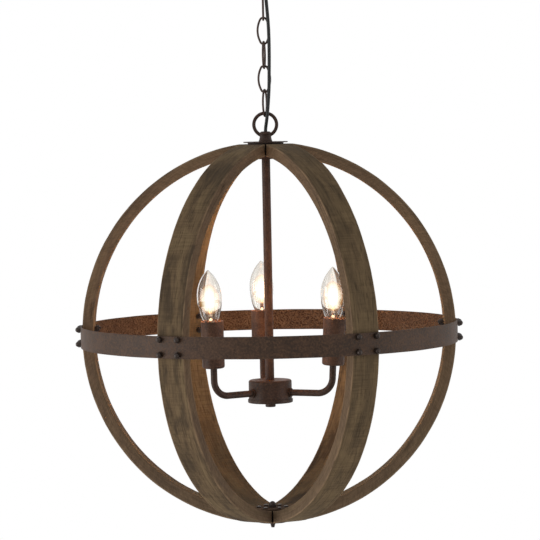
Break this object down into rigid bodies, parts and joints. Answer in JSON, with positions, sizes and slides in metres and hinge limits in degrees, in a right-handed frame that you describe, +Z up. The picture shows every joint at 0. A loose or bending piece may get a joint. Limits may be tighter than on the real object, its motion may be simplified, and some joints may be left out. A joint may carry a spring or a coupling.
{
  "type": "orb chandelier",
  "caption": "Open globe of bent wooden ribs in a steel band, hung on a short chain, with candle lamps on curved arms inside.",
  "frame": {"origin": "on the ceiling, at the middle of the fixing bracket's two slots", "axes": "+Z up, +X to the viewer's right and along the bracket, -Y towards the viewer; at rest the chain, rod and globe share the Z axis"},
  "size_m": [0.5504, 0.5362, 0.8221],
  "materials": {
    "weathered_wood": "matt, open grain with saw marks",
    "band_steel": "matt mottled brown-grey coating",
    "rust_brown_metal": "satin rust-brown coating",
    "chain_metal": "satin brown coating",
    "fastener_metal": "satin near-black coating",
    "zinc_steel": "bright zinc plating",
    "flex_sheath": "smooth black sheath",
    "terminal_plastic": "moulded white",
    "holder_ceramic": "unglazed",
    "lamp_glass": "clear",
    "cap_nickel": "nickel",
    "filament": "lit"
  },
  "bodies": {
    "ceiling_rose": {"ceiling_bracket": "zinc_steel", "canopy_nipple": "zinc_steel", "canopy_nuts": "zinc_steel", "canopy_cup": "rust_brown_metal", "canopy_loop": "chain_metal", "terminal_block": "terminal_plastic", "rose_wiring": "flex_sheath", "flex_cord": "flex_sheath"},
    "chain_link_1": {"chain_link_1": "chain_metal"},
    "chain_link_2": {"chain_link_2": "chain_metal"},
    "chain_link_3": {"chain_link_3": "chain_metal"},
    "chain_link_4": {"chain_link_4": "chain_metal"},
    "chain_link_5": {"chain_link_5": "chain_metal"},
    "globe": {"orb_loop": "chain_metal", "top_cover_disc": "rust_brown_metal", "top_clamp_disc": "rust_brown_metal", "top_inner_plate": "rust_brown_metal", "bottom_inner_plate": "rust_brown_metal", "plate_screws": "fastener_metal", "equator_band": "band_steel", "band_bolts": "fastener_metal", "band_dome_nuts": "fastener_metal", "band_locknuts": "fastener_metal", "bottom_outer_disc": "rust_brown_metal", "bottom_stud": "fastener_metal", "bottom_dome_nut": "fastener_metal", "bottom_cap_nut": "fastener_metal", "centre_rod": "rust_brown_metal", "rod_nuts": "rust_brown_metal", "cluster_body": "rust_brown_metal", "cluster_base_plate": "rust_brown_metal", "cluster_finial_screw": "rust_brown_metal", "arm_nuts": "rust_brown_metal", "lamp_wiring": "flex_sheath", "wire_connectors": "terminal_plastic", "rib_1": "weathered_wood", "rib_2": "weathered_wood", "rib_3": "weathered_wood", "rib_4": "weathered_wood", "rib_5": "weathered_wood", "rib_6": "weathered_wood", "arm_right": "rust_brown_metal", "candle_sleeve_right": "rust_brown_metal", "lampholder_right": "holder_ceramic", "arm_left": "rust_brown_metal", "candle_sleeve_left": "rust_brown_metal", "lampholder_left": "holder_ceramic", "arm_back": "rust_brown_metal", "candle_sleeve_back": "rust_brown_metal", "lampholder_back": "holder_ceramic"},
    "lamp_right": {"lamp_cap_right": "cap_nickel", "lamp_glass_right": "lamp_glass", "lamp_filament_right": "filament"},
    "lamp_left": {"lamp_cap_left": "cap_nickel", "lamp_glass_left": "lamp_glass", "lamp_filament_left": "filament"},
    "lamp_back": {"lamp_cap_back": "cap_nickel", "lamp_glass_back": "lamp_glass", "lamp_filament_back": "filament"}
  },
  "joints": [
    {"name": "chain_link_1_swing", "type": "hinge", "parent": "ceiling_rose", "child": "chain_link_1", "pos_m": [0, 0, -0.062], "axis": [0, 1, 0], "range_deg": [-12, 12]},
    {"name": "chain_link_2_swing", "type": "hinge", "parent": "chain_link_1", "child": "chain_link_2", "pos_m": [0, 0, -0.096], "axis": [1, 0, 0], "range_deg": [-12, 12]},
    {"name": "chain_link_3_swing", "type": "hinge", "parent": "chain_link_2", "child": "chain_link_3", "pos_m": [0, 0, -0.13], "axis": [0.1736, 0.9848, 0], "range_deg": [-12, 12]},
    {"name": "chain_link_4_swing", "type": "hinge", "parent": "chain_link_3", "child": "chain_link_4", "pos_m": [0, 0, -0.164], "axis": [1, 0, 0], "range_deg": [-12, 12]},
    {"name": "chain_link_5_swing", "type": "hinge", "parent": "chain_link_4", "child": "chain_link_5", "pos_m": [0, 0, -0.198], "axis": [0.309, 0.9511, 0], "range_deg": [-12, 12]},
    {"name": "globe_swing", "type": "hinge", "parent": "chain_link_5", "child": "globe", "pos_m": [0, 0, -0.23105], "axis": [1, 0, 0], "range_deg": [-15, 15], "deforming": ["flex_cord"]},
    {"name": "lamp_right_lift", "type": "slide", "parent": "globe", "child": "lamp_right", "axis": [0.0144, -0.0063, 0.9999], "range_m": [0, 0.07]},
    {"name": "lamp_left_lift", "type": "slide", "parent": "globe", "child": "lamp_left", "axis": [-0.0421, -0.0311, 0.9986], "range_m": [0, 0.07]},
    {"name": "lamp_back_lift", "type": "slide", "parent": "globe", "child": "lamp_back", "axis": [-0.0019, 0.0173, 0.9998], "range_m": [0, 0.07]}
  ]
}
